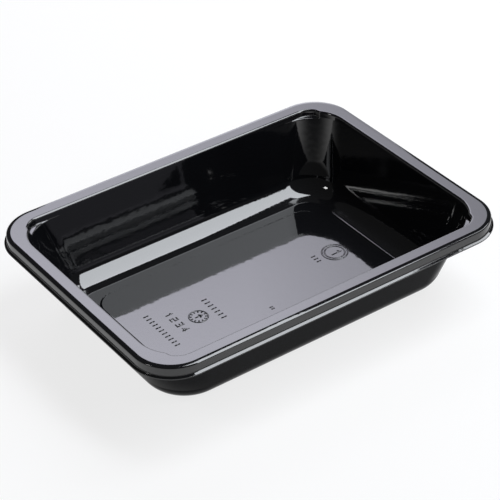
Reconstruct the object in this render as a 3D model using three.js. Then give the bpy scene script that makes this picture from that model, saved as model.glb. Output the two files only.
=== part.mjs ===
import * as THREE from 'three';

// Sealable ready-meal tray, formed in one piece from a single plastic sheet.
// Millimetres, +Z up, origin on the table plane under the middle of the tray.
// The whole shell is one closed skin: a stack of rounded-rectangle outlines that runs over
// the food side from the floor out to the rim, and back along the underside.

// Overall size
const LENGTH = 187;          // along X, over the trim lip
const WIDTH = 137;           // along Y, over the trim lip
const HEIGHT = 38;           // table to the top of the sealing flange
const SHEET = 0.6;           // thickness of the formed sheet

// Rim: sealing flange, turned-down skirt and trim lip (insets are measured from the outline)
const OUTLINE_RADIUS = 20;   // plan corner radius of the trim lip
const FLANGE_OUTER_INSET = 2.9;
const FLANGE_INNER_INSET = 7.5;
const OUTER_EDGE_RADIUS = 1.3;
const INNER_EDGE_RADIUS = 1.2;
const SKIRT_LEAN = 8;        // degrees away from upright
const SKIRT_DEPTH = 4.3;     // flange top to the foot of the skirt
const SKIRT_FOOT_RADIUS = 0.5;
const LIP_SLOPE = 15;        // degrees, falling outwards
const LIP_TIP_INSET = 0.14;  // where the lip's top face meets its rounded cut edge
const LIP_TIP_HALF = 0.17;   // half the flat left on the cut edge

// Wall and base of the dish
const WALL_DRAFT = 14.5;     // degrees away from upright
const MOUTH_RADIUS = 18.8;   // plan corner radius of the opening
const WALL_FOOT_RADIUS = 20.1; // plan corner radius where the wall meets the base fillet
const BASE_FILLET_RADIUS = 10.9;
const PANEL_INSET = 32.6;    // edge of the raised middle panel of the floor
const PANEL_RAMP = 1.0;      // width of the step around the panel
const PANEL_RISE = 0.4;      // how far the panel stands above the foot ring
const PANEL_RADIUS = 9.4;

// Stacking ledges: each corner is opened out on its long-side half, down to a small shelf
const POCKET_RADIUS = 10.3;  // plan radius of the opened-out corner at the flange
const POCKET_SIDE_INSET = 21; // its centre, measured in from the short side
const POCKET_START = 37;     // degrees, where its arc begins
const POCKET_SPLIT = 41;     // degrees, where the plain corner arc stops
const LEDGE_TOP = 2.3;       // depth at which the shelf starts to curve in
const LEDGE_FOOT = 3.8;      // depth at which the shelf has run into the wall
const LEDGE_SIDE_SHIFT = 0.465; // sideways part of the sheet thickness around the shelf

// Fineness of the curves
const PLAIN_STEPS = 5;       // plan corner, short-side part
const POCKET_STEPS = 6;      // plan corner, long-side part
const EDGE_STEPS = 4;        // section arcs of the rim edges
const FOOT_STEPS = 2;        // section arc at the foot of the skirt
const FILLET_STEPS = 7;      // section arc of the base fillet

const rad = THREE.MathUtils.degToRad;
const lerp = THREE.MathUtils.lerp;

// A station is one outline of the skin: its inset and height, the inset of its corner centres,
// how far the corners follow the stacking pocket, and the way through the sheet to the other
// face (across: towards the middle, down: towards the table).
function station(inset, height, centre, across, down, pocket = 0) {
  return { inset, height, centre, across, down, pocket };
}

const steps = (count) => Array.from({ length: count + 1 }, (_, i) => i / count);

// Corner centres of the dish move inwards from the mouth to the foot of the wall
const MOUTH_CENTRE = FLANGE_INNER_INSET + MOUTH_RADIUS;
const WALL_TILT = 90 - WALL_DRAFT;
const WALL_TOP_INSET = FLANGE_INNER_INSET + INNER_EDGE_RADIUS * Math.sin(rad(WALL_TILT));
const WALL_TOP_DEPTH = INNER_EDGE_RADIUS * (1 - Math.cos(rad(WALL_TILT)));
const WALL_FOOT_HEIGHT = SHEET + BASE_FILLET_RADIUS * (1 - Math.cos(rad(WALL_TILT)));
const WALL_FOOT_DEPTH = HEIGHT - WALL_FOOT_HEIGHT;

function wallInset(depth) {
  return WALL_TOP_INSET + (depth - WALL_TOP_DEPTH) * Math.tan(rad(WALL_DRAFT));
}

const WALL_FOOT_INSET = wallInset(WALL_FOOT_DEPTH);
const WALL_FOOT_CENTRE = WALL_FOOT_INSET + WALL_FOOT_RADIUS;

function wallCentre(depth) {
  return lerp(MOUTH_CENTRE, WALL_FOOT_CENTRE, depth / WALL_FOOT_DEPTH);
}

// Floor: raised middle panel, its ramp, then the flat foot ring up to the base fillet
function floorStations() {
  const centre = PANEL_INSET + PANEL_RADIUS;
  return [
    station(PANEL_INSET, SHEET + PANEL_RISE, centre, 0, SHEET),
    station(PANEL_INSET - PANEL_RAMP, SHEET, centre, 0, SHEET),
  ];
}

function filletStations() {
  const start = WALL_FOOT_INSET + BASE_FILLET_RADIUS * Math.sin(rad(WALL_TILT));
  return steps(FILLET_STEPS).map((t) => {
    const tilt = rad(WALL_TILT * t);
    const inset = start - BASE_FILLET_RADIUS * Math.sin(tilt);
    const height = SHEET + BASE_FILLET_RADIUS * (1 - Math.cos(tilt));
    return station(inset, height, WALL_FOOT_CENTRE,
      -SHEET * Math.sin(tilt), SHEET * Math.cos(tilt));
  });
}

// Stacking ledge: the pocket share grows from none at the foot of the shelf to all above it
function ledgeStations() {
  const shelf = [[0, 0], [0.37, 0.08], [0.5, 0.3], [0.57, 0.7], [0.67, 0.92], [1, 1]];
  return shelf.map(([t, pocket]) => {
    const depth = lerp(LEDGE_FOOT, LEDGE_TOP, t);
    return station(wallInset(depth), HEIGHT - depth, wallCentre(depth),
      -LEDGE_SIDE_SHIFT, SHEET, pocket);
  });
}

function innerEdgeStations() {
  return steps(EDGE_STEPS).reverse().map((t) => {
    const tilt = rad(WALL_TILT * t);
    const inset = FLANGE_INNER_INSET + INNER_EDGE_RADIUS * Math.sin(tilt);
    const height = HEIGHT - INNER_EDGE_RADIUS * (1 - Math.cos(tilt));
    return station(inset, height, MOUTH_CENTRE,
      -SHEET * Math.sin(tilt), SHEET * Math.cos(tilt), 1);
  });
}

function outerEdgeStations() {
  return steps(EDGE_STEPS).map((t) => {
    const tilt = rad((90 - SKIRT_LEAN) * t);
    const inset = FLANGE_OUTER_INSET - OUTER_EDGE_RADIUS * Math.sin(tilt);
    const height = HEIGHT - OUTER_EDGE_RADIUS * (1 - Math.cos(tilt));
    return station(inset, height, OUTLINE_RADIUS,
      SHEET * Math.sin(tilt), SHEET * Math.cos(tilt));
  });
}

// Foot of the skirt turns out into the trim lip, which ends in a rounded cut edge
function lipStations(skirtTop) {
  const steep = 90 - SKIRT_LEAN;
  const topDepth = HEIGHT - skirtTop.height;
  const footInset = skirtTop.inset - (SKIRT_DEPTH - topDepth) * Math.tan(rad(SKIRT_LEAN));
  const turn = steps(FOOT_STEPS).map((t) => {
    const slope = rad(lerp(steep, LIP_SLOPE, t));
    const inset = footInset - SKIRT_FOOT_RADIUS * (Math.sin(rad(steep)) - Math.sin(slope));
    const depth = SKIRT_DEPTH + SKIRT_FOOT_RADIUS * (Math.cos(slope) - Math.cos(rad(steep)));
    return station(inset, HEIGHT - depth, OUTLINE_RADIUS,
      SHEET * Math.sin(slope), SHEET * Math.cos(slope));
  });
  const last = turn[turn.length - 1];
  const fall = (last.inset - LIP_TIP_INSET) * Math.tan(rad(LIP_SLOPE));
  const tip = station(LIP_TIP_INSET, last.height - fall, OUTLINE_RADIUS, 0, SHEET);
  return [...turn, tip];
}

// Plan outline of a station, anticlockwise from the middle of the +X side's upper end
function quarter(inset, centre, pocket) {
  const cx = LENGTH / 2 - centre;
  const cy = WIDTH / 2 - centre;
  const radius = centre - inset;
  const onPlain = (deg) => [cx + radius * Math.cos(rad(deg)), cy + radius * Math.sin(rad(deg))];
  const pocketX = LENGTH / 2 - POCKET_SIDE_INSET;
  const pocketEdge = WIDTH / 2 - inset;
  const pocketR = FLANGE_INNER_INSET + POCKET_RADIUS - inset;
  const plain = steps(PLAIN_STEPS).map((t) => onPlain(POCKET_SPLIT * t));
  const opened = steps(POCKET_STEPS).map((t) => {
    const [px, py] = onPlain(lerp(POCKET_SPLIT + 2, 90, t));
    const turn = rad(lerp(POCKET_START, 90, t));
    const qx = pocketX + pocketR * Math.cos(turn);
    const qy = pocketEdge - pocketR * (1 - Math.sin(turn));
    return [lerp(px, qx, pocket), lerp(py, qy, pocket)];
  });
  return [...plain, ...opened];
}

function outline(inset, height, centre, pocket) {
  const corner = quarter(inset, centre, pocket);
  const back = [...corner].reverse();
  const loop = [
    ...corner,
    ...back.map(([x, y]) => [-x, y]),
    ...corner.map(([x, y]) => [-x, -y]),
    ...back.map(([x, y]) => [x, -y]),
  ];
  return loop.map(([x, y]) => new THREE.Vector3(x, y, height));
}

// Top face, cut edge and underside as one run of outlines
function allOutlines() {
  const outer = outerEdgeStations();
  const top = [
    ...floorStations(),
    ...filletStations(),
    ...ledgeStations(),
    ...innerEdgeStations(),
    ...outer,
    ...lipStations(outer[outer.length - 1]),
  ];
  const tip = top[top.length - 1];
  const edgeMid = tip.height - SHEET / 2;
  const cut = [edgeMid + LIP_TIP_HALF, edgeMid - LIP_TIP_HALF];
  const under = top.map((s) => outline(s.inset + s.across, s.height - s.down, s.centre, s.pocket));
  return [
    ...top.map((s) => outline(s.inset, s.height, s.centre, s.pocket)),
    ...cut.map((height) => outline(0, height, OUTLINE_RADIUS, 0)),
    ...under.reverse(),
  ];
}

// Closed skin over a run of outlines, with a fan over the first and the last
function skin(loops) {
  const size = loops[0].length;
  const points = loops.flat();
  const faces = [];
  for (let k = 0; k + 1 < loops.length; k += 1) {
    for (let i = 0; i < size; i += 1) {
      const j = (i + 1) % size;
      const a = k * size;
      const b = a + size;
      faces.push(a + i, b + i, b + j, a + i, b + j, a + j);
    }
  }
  const first = points.push(new THREE.Vector3(0, 0, loops[0][0].z)) - 1;
  const last = points.push(new THREE.Vector3(0, 0, loops[loops.length - 1][0].z)) - 1;
  const end = (loops.length - 1) * size;
  for (let i = 0; i < size; i += 1) {
    const j = (i + 1) % size;
    faces.push(first, i, j, last, end + j, end + i);
  }
  const geometry = new THREE.BufferGeometry().setFromPoints(points);
  geometry.setIndex(faces);
  geometry.computeVertexNormals();
  return geometry;
}

const blackPlastic = new THREE.MeshStandardMaterial({
  color: 0x17181b,
  roughness: 0.12,
  metalness: 0,
});

const tray = new THREE.Mesh(skin(allOutlines()), blackPlastic);
tray.name = 'meal_tray';

const object = new THREE.Group();
object.name = 'sealable_meal_tray';
object.add(tray);

export default object;
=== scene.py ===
import math

import bmesh
import bpy
from mathutils import Matrix, Vector


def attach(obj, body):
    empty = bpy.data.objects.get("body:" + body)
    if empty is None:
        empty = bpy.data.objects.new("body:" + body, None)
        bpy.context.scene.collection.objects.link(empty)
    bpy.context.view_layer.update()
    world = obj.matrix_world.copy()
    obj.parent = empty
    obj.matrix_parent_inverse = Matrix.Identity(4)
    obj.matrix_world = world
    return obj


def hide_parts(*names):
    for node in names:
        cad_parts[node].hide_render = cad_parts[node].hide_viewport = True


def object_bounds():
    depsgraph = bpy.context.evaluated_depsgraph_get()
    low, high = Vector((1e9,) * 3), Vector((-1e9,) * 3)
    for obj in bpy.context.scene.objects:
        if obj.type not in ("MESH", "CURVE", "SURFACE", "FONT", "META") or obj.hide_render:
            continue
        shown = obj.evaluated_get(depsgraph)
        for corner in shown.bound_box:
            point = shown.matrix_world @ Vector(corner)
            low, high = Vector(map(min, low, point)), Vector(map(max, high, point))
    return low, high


bl_info = {
    "name": "Sealable meal tray",
    "version": (1, 0, 0),
    "blender": (4, 5, 0),
    "location": "3D View > Sidebar > Meal Tray",
    "description": "Forms a sealable ready-meal tray from one sheet, with marks and a stage",
    "category": "Add Mesh",
}

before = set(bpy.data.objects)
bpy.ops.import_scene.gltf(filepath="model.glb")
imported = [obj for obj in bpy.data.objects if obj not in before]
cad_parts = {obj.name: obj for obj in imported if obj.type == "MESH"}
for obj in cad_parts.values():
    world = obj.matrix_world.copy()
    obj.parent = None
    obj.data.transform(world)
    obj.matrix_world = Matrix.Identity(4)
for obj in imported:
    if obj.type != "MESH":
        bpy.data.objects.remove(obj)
LOW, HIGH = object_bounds()

MM = 0.001

# Fixed details of the section, next to the sizes a user can change
PANEL_LOOPS = [x * MM for x in (7.0, 2.5, 0.5, 0.1)]  # spare outlines inside the panel's edge
PANEL_EDGE_GAP = 0.1 * MM    # outline that keeps the foot of the panel's step sharp
FILLET_GAP = 1.0 * MM        # last flat outline of the foot ring before the fillet
RAMP_BEND = 2.6 * MM         # rounding from the foot ring to the ramp
DROOP_BEND = 1.0 * MM        # rounding at the start of the flange's droop
DROOP_RUN = 1.25 * MM        # straight part of the droop
LIP_TIP_INSET = 0.14 * MM    # where the lip's top face meets its rounded cut edge
LIP_TIP_HALF = 0.17 * MM     # half the flat left on the cut edge
POCKET_GAP = math.radians(2)  # turn of the small step between plain corner and pocket
CREASE_REACH = 0.5 * MM      # how far that step's rounding reaches
SHELF_MIDDLE = 0.535         # share of the shelf's depth at which the pocket is half open
SHELF_SOFTNESS = 0.105       # how gently it opens, in the same share
SHELF_SHARES = (0, .12, .22, .29, .34, .38, .41, .44, .465, .49, .51, .53, .55, .57,
                .59, .61, .635, .66, .69, .73, .79, .88, 1)

# Marks: section of a bead as shares of its width and height, and how deep it is rooted
BEAD_PROFILE = ((-0.5, 0.0), (-0.32, 0.72), (0.0, 1.0), (0.32, 0.72), (0.5, 0.0))
BEAD_SINK = 0.01 * MM
BEAD_ROOT = 0.1 * MM

# Stage, in metres and degrees
WHITE_NEAR, WHITE_FAR = 0.15, 0.9   # distance over which the floor turns wholly white
AIR_LOW, AIR_HIGH = 3, 12           # elevation over which the world falls from white to dim
AIR_DIM = 0.06
FLOOR_HALF = 4.0
FLOOR_DROP = 0.0002                 # floor under the table plane, clear of the tray's foot
CAMERA_PLACE = (-0.40151, -0.57221, 0.52302)
CAMERA_ANGLES = (-35.06, 35.60, -1.43)   # turn, rise and roll
SENSOR_WIDTH = 36.0                 # millimetres


# ---------------------------------------------------------------------------
# Settings a user can change
# ---------------------------------------------------------------------------

def size_setting(name, description, millimetres):
    """A length in the sidebar, given here in millimetres."""
    return bpy.props.FloatProperty(
        name=name, description=description, default=millimetres * MM,
        min=0.0, precision=5, unit="LENGTH", subtype="DISTANCE")


def angle_setting(name, description, degrees):
    """An angle in the sidebar, given here in degrees."""
    return bpy.props.FloatProperty(
        name=name, description=description, default=math.radians(degrees),
        min=0.0, max=math.pi / 2, unit="ROTATION", subtype="ANGLE")


def share_setting(name, description, value, top=1.0):
    """A plain number from nothing to top."""
    return bpy.props.FloatProperty(
        name=name, description=description, default=value, min=0.0, soft_max=top, precision=4)


def colour_setting(name, description, colour):
    """A colour in the sidebar, in linear light."""
    return bpy.props.FloatVectorProperty(
        name=name, description=description, default=colour, size=3,
        min=0.0, max=1.0, subtype="COLOR")


class MEALTRAY_Sizes(bpy.types.PropertyGroup):
    """Sizes of the formed sheet."""
    length: size_setting("Length", "Long side over the trim lip", (HIGH.x - LOW.x) / MM)
    width: size_setting("Width", "Short side over the trim lip", (HIGH.y - LOW.y) / MM)
    height: size_setting("Height", "Table to the top of the sealing flange", (HIGH.z - LOW.z) / MM)
    sheet: size_setting("Sheet", "Thickness of the formed sheet", 0.6)
    outline_radius: size_setting("Outline radius", "Corner radius of the trim lip", 20)
    flange_outer: size_setting("Flange outer inset", "Outline to the flat of the flange", 3.2)
    flange_inner: size_setting("Flange inner inset", "Outline to the mouth of the dish", 7.5)
    outer_edge: size_setting("Outer edge radius", "Rounding from flange to skirt", 0.75)
    flange_droop: angle_setting("Flange droop", "Fall of the flange's outer border", 11.5)
    inner_edge: size_setting("Inner edge radius", "Rounding from flange to wall", 1.2)
    skirt_lean: angle_setting("Skirt lean", "Lean of the skirt away from upright", 0.6)
    skirt_depth: size_setting("Skirt depth", "Flange top to the foot of the skirt", 4.3)
    skirt_foot: size_setting("Skirt foot radius", "Rounding from skirt to trim lip", 0.3)
    lip_slope: angle_setting("Lip slope", "Fall of the trim lip", 24)
    wall_draft: angle_setting("Wall draft", "Lean of the walls away from upright", 14.5)
    mouth_radius: size_setting("Mouth radius", "Corner radius of the opening", 18.8)
    wall_foot_radius: size_setting("Wall foot radius", "Corner radius at the wall's foot", 20.1)
    base_fillet: size_setting("Base fillet", "Rounding from wall to floor", 10.9)
    foot_ramp: angle_setting("Foot ramp", "Slope of the ramp at the foot of the fillet", 14.4)
    foot_lift: size_setting("Foot lift", "How far the ramp lifts the fillet", 0.5)
    panel_inset: size_setting("Panel inset", "Outline to the raised floor panel", 32.6)
    panel_ramp: size_setting("Panel ramp", "Width of the step round the panel", 1.0)
    panel_rise: size_setting("Panel rise", "Height of the panel above the foot ring", 0.4)
    panel_radius: size_setting("Panel radius", "Corner radius of the panel", 9.4)
    mark_size: size_setting("Mark size", "Height of the digits on the floor", 3.2)
    mark_width: size_setting("Mark width", "Width of the lines of the marks", 0.8)
    mark_height: size_setting("Mark height", "How far the marks stand above the floor", 0.2)
    pocket_radius: size_setting("Pocket radius", "Radius of the opened-out corner", 10.3)
    pocket_inset: size_setting("Pocket inset", "Short side to the pocket's centre", 21)
    pocket_start: angle_setting("Pocket start", "Where the pocket's arc begins", 37)
    pocket_split: angle_setting("Pocket split", "Where the plain corner stops", 41)
    ledge_top: size_setting("Ledge top", "Depth at which the shelf curves in", 2.3)
    ledge_foot: size_setting("Ledge foot", "Depth at which the shelf joins the wall", 3.8)


class MEALTRAY_Finish(bpy.types.PropertyGroup):
    """Colour and surface of the plastic."""
    colour: colour_setting("Colour", "Body colour of the plastic", (0.0046, 0.0048, 0.0058))
    roughness: share_setting("Roughness", "Roughness of the food side", 0.045)
    outer_roughness: share_setting("Outside roughness", "Roughness of the underside", 0.16)
    ripple_size: size_setting("Ripple size", "Spacing of the slow waves in the sheet", 26)
    ripple_height: share_setting("Ripple height", "Height of the slow waves, micrometres", 24, 100)
    peel_size: size_setting("Peel size", "Spacing of the fine orange peel", 2.4)
    peel_height: share_setting("Peel height", "Height of the orange peel, micrometres", 9.0, 30)


class MEALTRAY_Stage(bpy.types.PropertyGroup):
    """Floor, lamps and camera."""
    floor_colour: colour_setting("Floor colour", "Colour of the pale floor", (0.88, 0.88, 0.88))
    floor_white: share_setting("Floor white", "Share of plain white in the floor as seen", 0.78)
    overhead_level: share_setting("Overhead softbox", "Brightness of the long softbox", 8.3, 20)
    back_level: share_setting("Back panel", "Brightness of the panel behind the tray", 5.1, 20)
    right_level: share_setting("Right panel", "Brightness of the panel on the right", 7.2, 20)
    left_level: share_setting("Left lamp", "Brightness of the small lamp on the left", 12.5, 60)
    lens: bpy.props.FloatProperty(
        name="Lens", description="Focal length of the camera", default=139.15, min=10.0,
        unit="CAMERA")


# ---------------------------------------------------------------------------
# Section of the sheet
# ---------------------------------------------------------------------------

def lerp(a, b, t):
    """The value a share t of the way from a to b."""
    return a + (b - a) * t


def steps(count):
    """Even shares from 0 to 1, both ends included."""
    return [i / count for i in range(count + 1)]


def smooth(t):
    """A share from 0 to 1 that starts and ends level."""
    return t * t * (3 - 2 * t)


def station(inset, height, centre, across, down, pocket=0.0):
    """One outline of the food side, with the way through the sheet to its other face."""
    return dict(inset=inset, height=height, centre=centre,
                across=across, down=down, pocket=pocket)


class Wall:
    """The sloping wall of the dish, by depth under the flange."""

    def __init__(self, s):
        self.tilt = math.pi / 2 - s.wall_draft
        self.slope = math.tan(s.wall_draft)
        self.mouth_centre = s.flange_inner + s.mouth_radius
        self.top_inset = s.flange_inner + s.inner_edge * math.sin(self.tilt)
        self.top_depth = s.inner_edge * (1 - math.cos(self.tilt))
        self.foot_height = s.sheet + s.base_fillet * (1 - math.cos(self.tilt))
        self.foot_depth = s.height - self.foot_height
        self.foot_inset = self.inset(self.foot_depth)
        self.foot_centre = self.foot_inset + s.wall_foot_radius

    def inset(self, depth):
        """Outline to the food side of the wall."""
        return self.top_inset + (depth - self.top_depth) * self.slope

    def centre(self, depth):
        """Outline to the centre of the plan corner."""
        return lerp(self.mouth_centre, self.foot_centre, depth / self.foot_depth)


def floor_stations(s, wall):
    """Raised panel, its soft step, and the flat foot ring out to the fillet."""
    centre = s.panel_inset + s.panel_radius
    panel = s.sheet + s.panel_rise
    rows = [station(s.panel_inset + x, panel, centre, 0, s.sheet) for x in PANEL_LOOPS]
    for t in steps(10):
        height = panel - s.panel_rise * smooth(t)
        rows.append(station(s.panel_inset - s.panel_ramp * t, height, centre, 0, s.sheet))
    edge = s.panel_inset - s.panel_ramp
    rows.append(station(edge - PANEL_EDGE_GAP, s.sheet, centre, 0, s.sheet))
    start = wall.foot_inset + s.base_fillet * math.sin(wall.tilt)
    rows.append(station(start + FILLET_GAP, s.sheet, wall.foot_centre, 0, s.sheet))
    return rows


def fillet_stations(s, wall, count=22):
    """Gentle ramp up from the foot ring, then the arc up to the wall."""
    start = (wall.foot_inset + s.base_fillet * math.sin(wall.tilt)
             - s.foot_lift * wall.slope)
    ramp = start - s.base_fillet * math.sin(s.foot_ramp)
    rise = s.foot_lift + s.base_fillet * (1 - math.cos(s.foot_ramp))
    bend = RAMP_BEND * math.tan(s.foot_ramp / 2)
    corner = ramp + rise / math.tan(s.foot_ramp)
    rows = []
    for t in steps(5):
        tilt = s.foot_ramp * t
        rows.append(station(corner + bend - RAMP_BEND * math.sin(tilt),
                            s.sheet + RAMP_BEND * (1 - math.cos(tilt)), wall.foot_centre,
                            -s.sheet * math.sin(tilt), s.sheet * math.cos(tilt)))
    last = rows[-1]
    for t in (0.1, 0.5, 0.9):
        rows.append(station(lerp(last["inset"], ramp, t), lerp(last["height"], s.sheet + rise, t),
                            wall.foot_centre, -s.sheet * math.sin(s.foot_ramp),
                            s.sheet * math.cos(s.foot_ramp)))
    for t in steps(count):
        tilt = lerp(s.foot_ramp, wall.tilt, t)
        rows.append(station(
            start - s.base_fillet * math.sin(tilt),
            s.sheet + s.foot_lift + s.base_fillet * (1 - math.cos(tilt)),
            wall.foot_centre, -s.sheet * math.sin(tilt), s.sheet * math.cos(tilt)))
    return rows


def wall_stations(s, wall):
    """Straight run of the wall from the fillet up to the stacking ledge."""
    rows = []
    for t in (0.012, 0.25, 0.5, 0.75, 0.96):
        depth = lerp(wall.foot_depth - s.foot_lift, s.ledge_foot, t)
        rows.append(station(wall.inset(depth), s.height - depth, wall.centre(depth),
                            -s.sheet * math.sin(wall.tilt), s.sheet * math.cos(wall.tilt)))
    return rows


def ledge_stations(s, wall):
    """The pocket share grows from none at the foot of the shelf to all above it."""
    fall = s.sheet - s.sheet * math.cos(wall.tilt)
    shift = s.sheet * math.sin(wall.tilt) - fall * wall.slope

    def opening(t):
        return math.tanh((t - SHELF_MIDDLE) / SHELF_SOFTNESS)

    low, high = opening(0), opening(1)
    rows = []
    for t in SHELF_SHARES:
        share = (opening(t) - low) / (high - low)
        depth = lerp(s.ledge_foot, s.ledge_top, t)
        rows.append(station(wall.inset(depth), s.height - depth, wall.centre(depth),
                            -shift, s.sheet, share))
    return rows


def rim_stations(s, wall):
    """Inner edge, flat sealing flange and outer edge."""
    rows = []
    for t in reversed(steps(10)):
        tilt = wall.tilt * t
        rows.append(station(
            s.flange_inner + s.inner_edge * math.sin(tilt),
            s.height - s.inner_edge * (1 - math.cos(tilt)),
            wall.mouth_centre, -s.sheet * math.sin(tilt), s.sheet * math.cos(tilt), 1.0))
    for t in (0.04, 0.35, 0.65, 0.95):
        inset = lerp(s.flange_inner, s.flange_outer, t)
        centre = lerp(wall.mouth_centre, s.outline_radius, t)
        rows.append(station(inset, s.height, centre, 0, s.sheet, 1 - t))
    return rows + outer_edge_stations(s)


def outer_edge_stations(s):
    """The flange droops a little before it turns down into the skirt."""
    droop = s.flange_droop
    rows = []
    for t in steps(3):
        tilt = droop * t
        rows.append((s.flange_outer - DROOP_BEND * math.sin(tilt),
                     s.height - DROOP_BEND * (1 - math.cos(tilt)), tilt))
    inset, height, _ = rows[-1]
    rows.append((inset - DROOP_RUN * 0.5, height - DROOP_RUN * 0.5 * math.tan(droop), droop))
    inset, height = inset - DROOP_RUN, height - DROOP_RUN * math.tan(droop)
    for t in steps(12):
        tilt = lerp(droop, math.pi / 2 - s.skirt_lean, t)
        rows.append((inset - s.outer_edge * (math.sin(tilt) - math.sin(droop)),
                     height - s.outer_edge * (math.cos(droop) - math.cos(tilt)), tilt))
    return [station(i, h, s.outline_radius, s.sheet * math.sin(a), s.sheet * math.cos(a))
            for i, h, a in rows]


def lip_stations(s, skirt_top):
    """Skirt, its turned foot, and the trim lip out to its cut edge."""
    steep = math.pi / 2 - s.skirt_lean
    top_depth = s.height - skirt_top["height"]
    foot_inset = skirt_top["inset"] - (s.skirt_depth - top_depth) * math.tan(s.skirt_lean)
    rows = []
    for t in (0.05, 0.5, 0.95):
        rows.append(station(
            lerp(skirt_top["inset"], foot_inset, t),
            s.height - lerp(top_depth, s.skirt_depth, t),
            s.outline_radius, s.sheet * math.sin(steep), s.sheet * math.cos(steep)))
    for t in steps(7):
        slope = lerp(steep, s.lip_slope, t)
        rows.append(station(
            foot_inset - s.skirt_foot * (math.sin(steep) - math.sin(slope)),
            s.height - s.skirt_depth - s.skirt_foot * (math.cos(slope) - math.cos(steep)),
            s.outline_radius, s.sheet * math.sin(slope), s.sheet * math.cos(slope)))
    last = rows[-1]
    for t in (0.08, 0.5, 0.92, 1.0):
        inset = lerp(last["inset"], LIP_TIP_INSET, t)
        fall = (last["inset"] - inset) * math.tan(s.lip_slope)
        across = s.sheet * math.sin(s.lip_slope) * (1 - t)
        rows.append(station(inset, last["height"] - fall, s.outline_radius, across, s.sheet))
    return rows


def cut_edge(s, tip):
    """Rounded cut edge of the lip, from its top face round to its underside."""
    middle = tip["height"] - s.sheet / 2
    drop = s.sheet / 2 - LIP_TIP_HALF
    turn = [math.pi / 2 * t for t in steps(5)][1:]
    upper = [(tip["inset"] * (1 - math.sin(a)), middle + LIP_TIP_HALF + drop * math.cos(a))
             for a in turn]
    lower = [(inset, 2 * middle - height) for inset, height in reversed(upper)]
    return upper + lower


# ---------------------------------------------------------------------------
# Plan outline
# ---------------------------------------------------------------------------

def rounded_step(before, start, end, after, reach, count):
    """Points from start to end with both turns of the small step rounded off."""
    def bend(a, corner, b):
        return [a.lerp(corner, t).lerp(corner.lerp(b, t), t) for t in steps(count)]

    def back_off(corner, towards):
        way = towards - corner
        return corner + way * min(0.45, reach / max(way.length, 1e-9))

    first = bend(back_off(start, before), start, back_off(start, end))
    second = bend(back_off(end, start), end, back_off(end, after))
    return first + second


def quarter(s, inset, centre, pocket):
    """Corner of an outline, from the short side round to the long side."""
    middle = Vector((s.length / 2 - centre, s.width / 2 - centre))
    radius = centre - inset

    def on_plain(angle):
        return middle + radius * Vector((math.cos(angle), math.sin(angle)))

    pocket_x = s.length / 2 - s.pocket_inset
    pocket_edge = s.width / 2 - inset
    pocket_r = s.flange_inner + s.pocket_radius - inset
    plain = [on_plain(s.pocket_split * t) for t in steps(14)]
    opened = []
    for t in steps(18):
        turn = lerp(s.pocket_start, math.pi / 2, t)
        free = Vector((pocket_x + pocket_r * math.cos(turn),
                       pocket_edge - pocket_r * (1 - math.sin(turn))))
        closed = on_plain(lerp(s.pocket_split + POCKET_GAP, math.pi / 2, t))
        opened.append(closed.lerp(free, pocket))
    crease = rounded_step(plain[-2], plain[-1], opened[0], opened[1], CREASE_REACH, 4)
    return plain[:-1] + crease + opened[1:]


def side_points(a, b, count):
    """Points between two corners, the corners left out."""
    return [a.lerp(b, t) for t in steps(count)[1:-1]]


def outline(s, inset, height, centre, pocket):
    """Closed outline of one station, anticlockwise from the +X side's +Y corner."""
    corner = quarter(s, inset, centre, pocket)
    back = list(reversed(corner))
    corners = [
        corner,
        [Vector((-p.x, p.y)) for p in back],
        [Vector((-p.x, -p.y)) for p in corner],
        [Vector((p.x, -p.y)) for p in back],
    ]
    loop = []
    for k, points in enumerate(corners):
        following = corners[(k + 1) % 4][0]
        loop += points + side_points(points[-1], following, 10 if k % 2 == 0 else 7)
    return [(p.x, p.y, height) for p in loop]


def tray_outlines(s):
    """Food side from the floor out to the rim, the cut edge, and the underside back again."""
    wall = Wall(s)
    rim = rim_stations(s, wall)
    top = (floor_stations(s, wall) + fillet_stations(s, wall) + wall_stations(s, wall)
           + ledge_stations(s, wall) + rim)
    top += lip_stations(s, rim[-1])
    food = [outline(s, r["inset"], r["height"], r["centre"], r["pocket"]) for r in top]
    cut = [outline(s, inset, height, s.outline_radius, 0)
           for inset, height in cut_edge(s, top[-1])]
    under = [outline(s, r["inset"] + r["across"], r["height"] - r["down"],
                     r["centre"], r["pocket"])
             for r in reversed(top)]
    return food, cut, under


# ---------------------------------------------------------------------------
# Marks
# ---------------------------------------------------------------------------

# Strokes of each digit: across and up, as shares of its height
DIGITS = {
    "1": [[(0.1, 0.75), (0.35, 1), (0.35, 0)]],
    "2": [[(0, 1), (0.6, 1), (0.6, 0.5), (0, 0.5), (0, 0), (0.6, 0)]],
    "3": [[(0, 1), (0.6, 1), (0.6, 0), (0, 0)], [(0.15, 0.5), (0.6, 0.5)]],
    "4": [[(0.45, 0), (0.45, 1), (0, 0.35), (0.62, 0.35)]],
}


def digit_lines(text, x, y, tall, pitch=0.95):
    """Centre lines of a row of digits that reads towards the front, feet towards -X."""
    lines = []
    for k, sign in enumerate(text):
        for line in DIGITS[sign]:
            lines.append([Vector((x + b * tall, y - (a + k * pitch) * tall)) for a, b in line])
    return lines


def tally_lines(count, x, y, tall, pitch):
    """Centre lines of a row of plain short bars."""
    return [[Vector((x, y - k * pitch)), Vector((x + tall, y - k * pitch))] for k in range(count)]


def ring_line(x, y, radius, count=40):
    """Closed centre line of a circle."""
    return [Vector((x + radius * math.cos(math.tau * t), y + radius * math.sin(math.tau * t)))
            for t in steps(count)]


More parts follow.
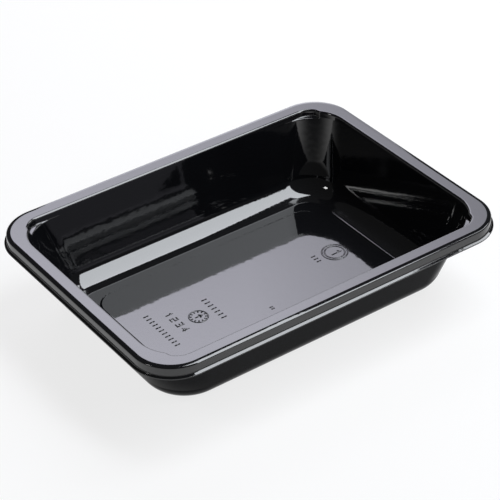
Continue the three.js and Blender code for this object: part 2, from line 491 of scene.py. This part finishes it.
def dial_lines(x, y, radius):
    """Month dial of a mould: a ring, twelve ticks inside it and an arrow in the middle."""
    def at(along, across):
        return Vector((x, y)) + Vector((along, across)) * radius

    lines = [ring_line(x, y, radius)]
    for k in range(12):
        turn = math.tau * k / 12
        lines.append([at(math.cos(turn) * reach, math.sin(turn) * reach) for reach in (0.68, 0.9)])
    lines.append([at(-0.4, 0), at(0.42, 0)])
    lines.append([at(0.1, -0.25), at(0.42, 0), at(0.1, 0.25)])
    return lines


def bead(bm, line, width, height, base):
    """Low rounded bead along a centre line, its foot sunk a little into the floor."""
    closed = (line[0] - line[-1]).length < 1e-6
    rows = []
    for k, point in enumerate(line):
        before = (point - line[k - 1]).normalized() if k else None
        after = (line[k + 1] - point).normalized() if k + 1 < len(line) else None
        if closed and before is None:
            before = (line[-1] - line[-2]).normalized()
        if closed and after is None:
            after = (line[1] - line[0]).normalized()
        way = ((before or after) + (after or before)).normalized()
        side = Vector((-way.y, way.x))
        leg = after or before
        spread = width / max(0.5, side.dot(Vector((-leg.y, leg.x))))
        row = [bm.verts.new((point.x + side.x * u * spread, point.y + side.y * u * spread,
                             base - BEAD_SINK + height * v)) for u, v in BEAD_PROFILE]
        rows.append(row + [bm.verts.new((point.x, point.y, base - BEAD_ROOT))])
    size = len(rows[0])
    for a, b in zip(rows, rows[1:]):
        for i in range(size):
            j = (i + 1) % size
            bm.faces.new((a[i], a[j], b[j], b[i]))
    bm.faces.new(rows[0])
    bm.faces.new(list(reversed(rows[-1])))


def add_marks(bm, s):
    """Plain mould marks on the panel: a ringed digit, a month dial, a short row of digits
    and rows of bars."""
    base = s.sheet + s.panel_rise
    tall = s.mark_size
    lines = digit_lines("1", 45.0 * MM, 0.2 * MM, tall * 1.6)
    lines += [ring_line(47.4 * MM, -0.6 * MM, radius * MM) for radius in (6.0, 4.7)]
    lines += tally_lines(3, 36.2 * MM, 2.6 * MM, tall * 0.7, 2.2 * MM)
    lines += tally_lines(7, -23.0 * MM, 6.0 * MM, tall * 0.85, 2.6 * MM)
    lines += dial_lines(-30.5 * MM, -2.5 * MM, 4.3 * MM)
    lines += digit_lines("1234", -42.0 * MM, 7.5 * MM, tall, 1.35)
    lines += tally_lines(11, -50.5 * MM, 11.5 * MM, tall * 0.8, 2.5 * MM)
    lines += tally_lines(2, -1.6 * MM, -16.5 * MM, tall * 0.5, 1.4 * MM)
    for line in lines:
        bead(bm, line, s.mark_width, s.mark_height, base)


# ---------------------------------------------------------------------------
# Skin
# ---------------------------------------------------------------------------

def skin(name, s, food, cut, under):
    """Closed smooth mesh over the outlines, with the underside on its own material."""
    loops = food + cut + under
    size = len(loops[0])
    mesh = bpy.data.meshes.new(name)
    bm = bmesh.new()
    rings = [[bm.verts.new(p) for p in loop] for loop in loops]
    outside_from = len(food) + len(cut) // 2
    for k in range(len(rings) - 1):
        a, b = rings[k], rings[k + 1]
        for i in range(size):
            j = (i + 1) % size
            face = bm.faces.new((a[i], b[i], b[j], a[j]))
            face.material_index = 1 if k >= outside_from else 0
    bm.faces.new(rings[0])
    last = bm.faces.new(list(reversed(rings[-1])))
    last.material_index = 1
    add_marks(bm, s)
    for face in bm.faces:
        face.smooth = True
    bmesh.ops.recalc_face_normals(bm, faces=bm.faces)
    bm.to_mesh(mesh)
    bm.free()
    return mesh


# ---------------------------------------------------------------------------
# Materials
# ---------------------------------------------------------------------------

def add_node(tree, kind, **values):
    """A node with its plain settings and input values filled in."""
    node = tree.nodes.new(kind)
    for key, value in values.items():
        if key in node.inputs:
            node.inputs[key].default_value = value
        else:
            setattr(node, key, value)
    return node


def sheet_surface_group():
    """Slow waves and fine orange peel of a formed sheet, with a soft cloudy mask."""
    old = bpy.data.node_groups.get("formed_sheet_surface")
    if old:
        return old
    group = bpy.data.node_groups.new("formed_sheet_surface", "ShaderNodeTree")
    face = group.interface
    for name, default in (("Ripple Size", 26.0), ("Ripple Height", 24.0),
                          ("Peel Size", 2.4), ("Peel Height", 9.0)):
        socket = face.new_socket(name, in_out="INPUT", socket_type="NodeSocketFloat")
        socket.default_value = default
    face.new_socket("Height", in_out="OUTPUT", socket_type="NodeSocketFloat")
    face.new_socket("Cloud", in_out="OUTPUT", socket_type="NodeSocketFloat")
    inside = group.nodes.new("NodeGroupInput")
    outside = group.nodes.new("NodeGroupOutput")
    place = add_node(group, "ShaderNodeTexCoord")

    def wave(size, height, detail, roughness):
        """Noise with the given spacing in millimetres and height in micrometres."""
        scale = add_node(group, "ShaderNodeMath", operation="DIVIDE")
        scale.inputs[0].default_value = 1000.0
        group.links.new(size, scale.inputs[1])
        noise = add_node(group, "ShaderNodeTexNoise", Detail=detail, Roughness=roughness)
        group.links.new(place.outputs["Object"], noise.inputs["Vector"])
        group.links.new(scale.outputs[0], noise.inputs["Scale"])
        middle = add_node(group, "ShaderNodeMath", operation="SUBTRACT")
        middle.inputs[1].default_value = 0.5
        group.links.new(noise.outputs["Fac"], middle.inputs[0])
        tall = add_node(group, "ShaderNodeMath", operation="MULTIPLY")
        group.links.new(middle.outputs[0], tall.inputs[0])
        group.links.new(height, tall.inputs[1])
        return tall, noise

    ripple, ripple_noise = wave(inside.outputs["Ripple Size"],
                                inside.outputs["Ripple Height"], 1.5, 0.4)
    peel, _ = wave(inside.outputs["Peel Size"], inside.outputs["Peel Height"], 0.0, 0.5)
    total = add_node(group, "ShaderNodeMath", operation="ADD")
    group.links.new(ripple.outputs[0], total.inputs[0])
    group.links.new(peel.outputs[0], total.inputs[1])
    metres = add_node(group, "ShaderNodeMath", operation="MULTIPLY")
    metres.inputs[1].default_value = 1e-6
    group.links.new(total.outputs[0], metres.inputs[0])
    group.links.new(metres.outputs[0], outside.inputs["Height"])
    group.links.new(ripple_noise.outputs["Fac"], outside.inputs["Cloud"])
    return group


def sheet_plastic(name, finish, roughness, specular, peel_gain):
    """Glossy dyed plastic whose colour, gloss and surface drift a little over the sheet."""
    material = bpy.data.materials.new(name)
    material.use_nodes = True
    tree = material.node_tree
    shader = tree.nodes["Principled BSDF"]
    shader.inputs["IOR"].default_value = 1.64  # crystalline PET
    shader.inputs["Specular IOR Level"].default_value = specular
    surface = tree.nodes.new("ShaderNodeGroup")
    surface.node_tree = sheet_surface_group()
    surface.inputs["Ripple Size"].default_value = finish.ripple_size / MM
    surface.inputs["Ripple Height"].default_value = finish.ripple_height
    surface.inputs["Peel Size"].default_value = finish.peel_size / MM
    surface.inputs["Peel Height"].default_value = finish.peel_height * peel_gain
    bump = add_node(tree, "ShaderNodeBump", Strength=1.0, Distance=1.0)
    tree.links.new(surface.outputs["Height"], bump.inputs["Height"])
    tree.links.new(bump.outputs["Normal"], shader.inputs["Normal"])

    gloss = add_node(tree, "ShaderNodeMapRange")
    gloss.inputs["From Min"].default_value = 0.3
    gloss.inputs["From Max"].default_value = 0.7
    gloss.inputs["To Min"].default_value = roughness * 0.85
    gloss.inputs["To Max"].default_value = roughness * 1.2
    tree.links.new(surface.outputs["Cloud"], gloss.inputs["Value"])
    tree.links.new(gloss.outputs["Result"], shader.inputs["Roughness"])

    tint = tree.nodes.new("ShaderNodeMix")
    tint.data_type = "RGBA"
    colour = list(finish.colour)
    tint.inputs[6].default_value = [c * 0.85 for c in colour] + [1]
    tint.inputs[7].default_value = [c * 1.15 for c in colour] + [1]
    tree.links.new(surface.outputs["Cloud"], tint.inputs["Factor"])
    tree.links.new(tint.outputs[2], shader.inputs["Base Color"])
    return material


# ---------------------------------------------------------------------------
# Tools
# ---------------------------------------------------------------------------

def show(obj):
    """Puts an object into the scene."""
    bpy.context.scene.collection.objects.link(obj)
    return obj


class MEALTRAY_OT_form_tray(bpy.types.Operator):
    """Form the whole tray from one sheet"""
    bl_idname = "mealtray.form_tray"
    bl_label = "Form tray"
    bl_options = {"REGISTER", "UNDO"}

    def execute(self, context):
        sizes = context.scene.mealtray_sizes
        finish = context.scene.mealtray_finish
        mesh = skin("formed_tray", sizes, *tray_outlines(sizes))
        mesh.materials.append(sheet_plastic(
            "black_plastic_food_side", finish, finish.roughness, specular=0.5, peel_gain=1.0))
        mesh.materials.append(sheet_plastic(
            "black_plastic_underside", finish, finish.outer_roughness, specular=0.02,
            peel_gain=0.4))
        tray = show(bpy.data.objects.new("formed_tray", mesh))
        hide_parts("meal_tray")
        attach(tray, "root")
        return {"FINISHED"}


def area_lamp(name, place, target, size, level, colour=(1, 1, 1)):
    """A softbox whose face has the given brightness, where 1 is a white surface."""
    lamp = bpy.data.lights.new(name, "AREA")
    lamp.shape = "RECTANGLE"
    lamp.size, lamp.size_y = size
    lamp.energy = level * math.pi * size[0] * size[1]
    lamp.color = colour
    obj = show(bpy.data.objects.new(name, lamp))
    obj.location = place
    way = Vector(target) - Vector(place)
    obj.rotation_euler = way.to_track_quat("-Z", "Y").to_euler()
    obj.visible_camera = False
    return obj


def shade_across(obj, across, upward):
    """Fades a softbox over its face; each fade is start, end, level before and level after."""
    lamp = obj.data
    lamp.use_nodes = True
    tree = lamp.node_tree
    emission = tree.nodes["Emission"]
    place = tree.nodes.new("ShaderNodeNewGeometry")
    split = tree.nodes.new("ShaderNodeSeparateXYZ")
    tree.links.new(place.outputs["Parametric"], split.inputs[0])
    fades = []
    for axis, values in (("X", across), ("Y", upward)):
        fade = tree.nodes.new("ShaderNodeMapRange")
        for name, value in zip(("From Min", "From Max", "To Min", "To Max"), values):
            fade.inputs[name].default_value = value
        tree.links.new(split.outputs[axis], fade.inputs["Value"])
        fades.append(fade)
    both = tree.nodes.new("ShaderNodeMath")
    both.operation = "MULTIPLY"
    tree.links.new(fades[0].outputs["Result"], both.inputs[0])
    tree.links.new(fades[1].outputs["Result"], both.inputs[1])
    tree.links.new(both.outputs[0], emission.inputs["Strength"])


def white_for_view(tree, shader, share):
    """Mixes plain white into what the camera, gloss and glass see: a share of it round the
    tray, where the shadow falls, and all of it further out."""
    path = tree.nodes.new("ShaderNodeLightPath")
    seen = add_node(tree, "ShaderNodeMath", operation="ADD", use_clamp=True)
    seen_all = add_node(tree, "ShaderNodeMath", operation="ADD", use_clamp=True)
    tree.links.new(path.outputs["Is Camera Ray"], seen.inputs[0])
    tree.links.new(path.outputs["Is Glossy Ray"], seen.inputs[1])
    tree.links.new(seen.outputs[0], seen_all.inputs[0])
    tree.links.new(path.outputs["Is Transmission Ray"], seen_all.inputs[1])
    place = tree.nodes.new("ShaderNodeTexCoord")
    distance = add_node(tree, "ShaderNodeVectorMath", operation="LENGTH")
    away = add_node(tree, "ShaderNodeMapRange", interpolation_type="SMOOTHSTEP")
    for name, value in (("From Min", WHITE_NEAR), ("From Max", WHITE_FAR),
                        ("To Min", share), ("To Max", 1.0)):
        away.inputs[name].default_value = value
    tree.links.new(place.outputs["Object"], distance.inputs[0])
    tree.links.new(distance.outputs["Value"], away.inputs["Value"])
    part = add_node(tree, "ShaderNodeMath", operation="MULTIPLY")
    tree.links.new(away.outputs["Result"], part.inputs[1])
    tree.links.new(seen_all.outputs[0], part.inputs[0])
    white = tree.nodes.new("ShaderNodeEmission")
    mixed = tree.nodes.new("ShaderNodeMixShader")
    tree.links.new(part.outputs[0], mixed.inputs[0])
    tree.links.new(shader.outputs[0], mixed.inputs[1])
    tree.links.new(white.outputs[0], mixed.inputs[2])
    output = next(n for n in tree.nodes if n.type == "OUTPUT_MATERIAL")
    tree.links.new(mixed.outputs[0], output.inputs["Surface"])


def pale_floor(colour, share):
    """Large floor under the tray, which keeps the tray's shadow."""
    mesh = bpy.data.meshes.new("pale_floor")
    corners = [(x * FLOOR_HALF, y * FLOOR_HALF, -FLOOR_DROP)
               for x, y in ((-1, -1), (1, -1), (1, 1), (-1, 1))]
    mesh.from_pydata(corners, [], [(0, 1, 2, 3)])
    floor = show(bpy.data.objects.new("pale_floor", mesh))
    material = bpy.data.materials.new("pale_floor")
    material.use_nodes = True
    shader = material.node_tree.nodes["Principled BSDF"]
    shader.inputs["Base Color"].default_value = list(colour) + [1]
    shader.inputs["Roughness"].default_value = 0.9
    shader.inputs["Specular IOR Level"].default_value = 0.0
    white_for_view(material.node_tree, shader, share)
    mesh.materials.append(material)


def studio_air():
    """White low down all round, and dim overhead where no lamp hangs."""
    world = bpy.data.worlds.new("studio_air")
    bpy.context.scene.world = world
    world.use_nodes = True
    tree = world.node_tree
    back = tree.nodes["Background"]
    place = tree.nodes.new("ShaderNodeTexCoord")
    split = tree.nodes.new("ShaderNodeSeparateXYZ")
    fall = tree.nodes.new("ShaderNodeMapRange")
    fall.interpolation_type = "SMOOTHSTEP"
    fall.inputs["From Min"].default_value = math.sin(math.radians(AIR_LOW))
    fall.inputs["From Max"].default_value = math.sin(math.radians(AIR_HIGH))
    fall.inputs["To Min"].default_value = 1.0
    fall.inputs["To Max"].default_value = AIR_DIM
    tree.links.new(place.outputs["Generated"], split.inputs[0])
    tree.links.new(split.outputs["Z"], fall.inputs["Value"])
    tree.links.new(fall.outputs["Result"], back.inputs["Color"])
    back.inputs["Strength"].default_value = 1.0


def photo_camera(lens):
    """Camera in the place and at the angles recovered from the tray's outlines."""
    data = bpy.data.cameras.new("photo_camera")
    data.sensor_width = SENSOR_WIDTH
    data.lens = lens
    camera = show(bpy.data.objects.new("photo_camera", data))
    turn, rise, roll = (math.radians(v) for v in CAMERA_ANGLES)
    back = Vector((math.sin(turn) * math.cos(rise), -math.cos(turn) * math.cos(rise),
                   math.sin(rise)))
    level = Vector((math.cos(turn), math.sin(turn), 0.0))
    upright = back.cross(level)
    right = math.cos(roll) * level + math.sin(roll) * upright
    up = -math.sin(roll) * level + math.cos(roll) * upright
    camera.matrix_world = (Matrix.Translation(CAMERA_PLACE)
                           @ Matrix((right, up, back)).transposed().to_4x4())
    bpy.context.scene.camera = camera


class MEALTRAY_OT_set_stage(bpy.types.Operator):
    """Set up the pale floor, the softboxes and the camera"""
    bl_idname = "mealtray.set_stage"
    bl_label = "Set stage"
    bl_options = {"REGISTER", "UNDO"}

    def execute(self, context):
        stage = context.scene.mealtray_stage
        context.scene.view_settings.view_transform = "Standard"
        pale_floor(stage.floor_colour, stage.floor_white)
        studio_air()
        strip = area_lamp("overhead_softbox", place=(0.610, -0.62, 1.05),
                          target=(0.610, -0.62, 0), size=(0.38, 1.95),
                          level=stage.overhead_level, colour=(0.92, 0.955, 1.0))
        strip.rotation_euler = (0, 0, math.radians(14))
        panel = area_lamp("back_panel", place=(0.5575, 0.798, 0.498), target=(0, 0, 0.03),
                          size=(0.62, 0.773), level=stage.back_level, colour=(0.885, 0.88, 1.0))
        shade_across(panel, across=(0.1, 0.5, 0.53, 1.0), upward=(0.56, 0.84, 0.57, 1.0))
        area_lamp("right_panel", place=(0.80, 0.03, 0.79), target=(0, 0, 0.03),
                  size=(0.32, 0.40), level=stage.right_level, colour=(0.93, 0.96, 1.0))
        area_lamp("left_lamp", place=(-0.836, 0.147, 0.87), target=(0, 0, 0.02),
                  size=(0.17, 0.17), level=stage.left_level)
        photo_camera(stage.lens)
        return {"FINISHED"}


class MEALTRAY_PT_parts(bpy.types.Panel):
    """Sizes, colours and tools of the meal tray"""
    bl_idname = "MEALTRAY_PT_parts"
    bl_label = "Meal Tray"
    bl_space_type = "VIEW_3D"
    bl_region_type = "UI"
    bl_category = "Meal Tray"

    def draw(self, context):
        scene = context.scene
        for title, group in (("Sizes", scene.mealtray_sizes), ("Finish", scene.mealtray_finish),
                             ("Stage", scene.mealtray_stage)):
            box = self.layout.box()
            box.label(text=title)
            for key in group.__annotations__:
                box.prop(group, key)
        column = self.layout.column(align=True)
        column.operator("mealtray.form_tray")
        column.operator("mealtray.set_stage")


CLASSES = (MEALTRAY_Sizes, MEALTRAY_Finish, MEALTRAY_Stage,
           MEALTRAY_OT_form_tray, MEALTRAY_OT_set_stage, MEALTRAY_PT_parts)


def register():
    for cls in CLASSES:
        bpy.utils.register_class(cls)
    bpy.types.Scene.mealtray_sizes = bpy.props.PointerProperty(type=MEALTRAY_Sizes)
    bpy.types.Scene.mealtray_finish = bpy.props.PointerProperty(type=MEALTRAY_Finish)
    bpy.types.Scene.mealtray_stage = bpy.props.PointerProperty(type=MEALTRAY_Stage)


def unregister():
    del bpy.types.Scene.mealtray_stage
    del bpy.types.Scene.mealtray_finish
    del bpy.types.Scene.mealtray_sizes
    for cls in reversed(CLASSES):
        bpy.utils.unregister_class(cls)


def main():
    """Sets the stage and forms the tray."""
    register()
    bpy.ops.mealtray.set_stage()
    bpy.ops.mealtray.form_tray()
    bpy.context.view_layer.update()


if __name__ == "__main__":
    main()
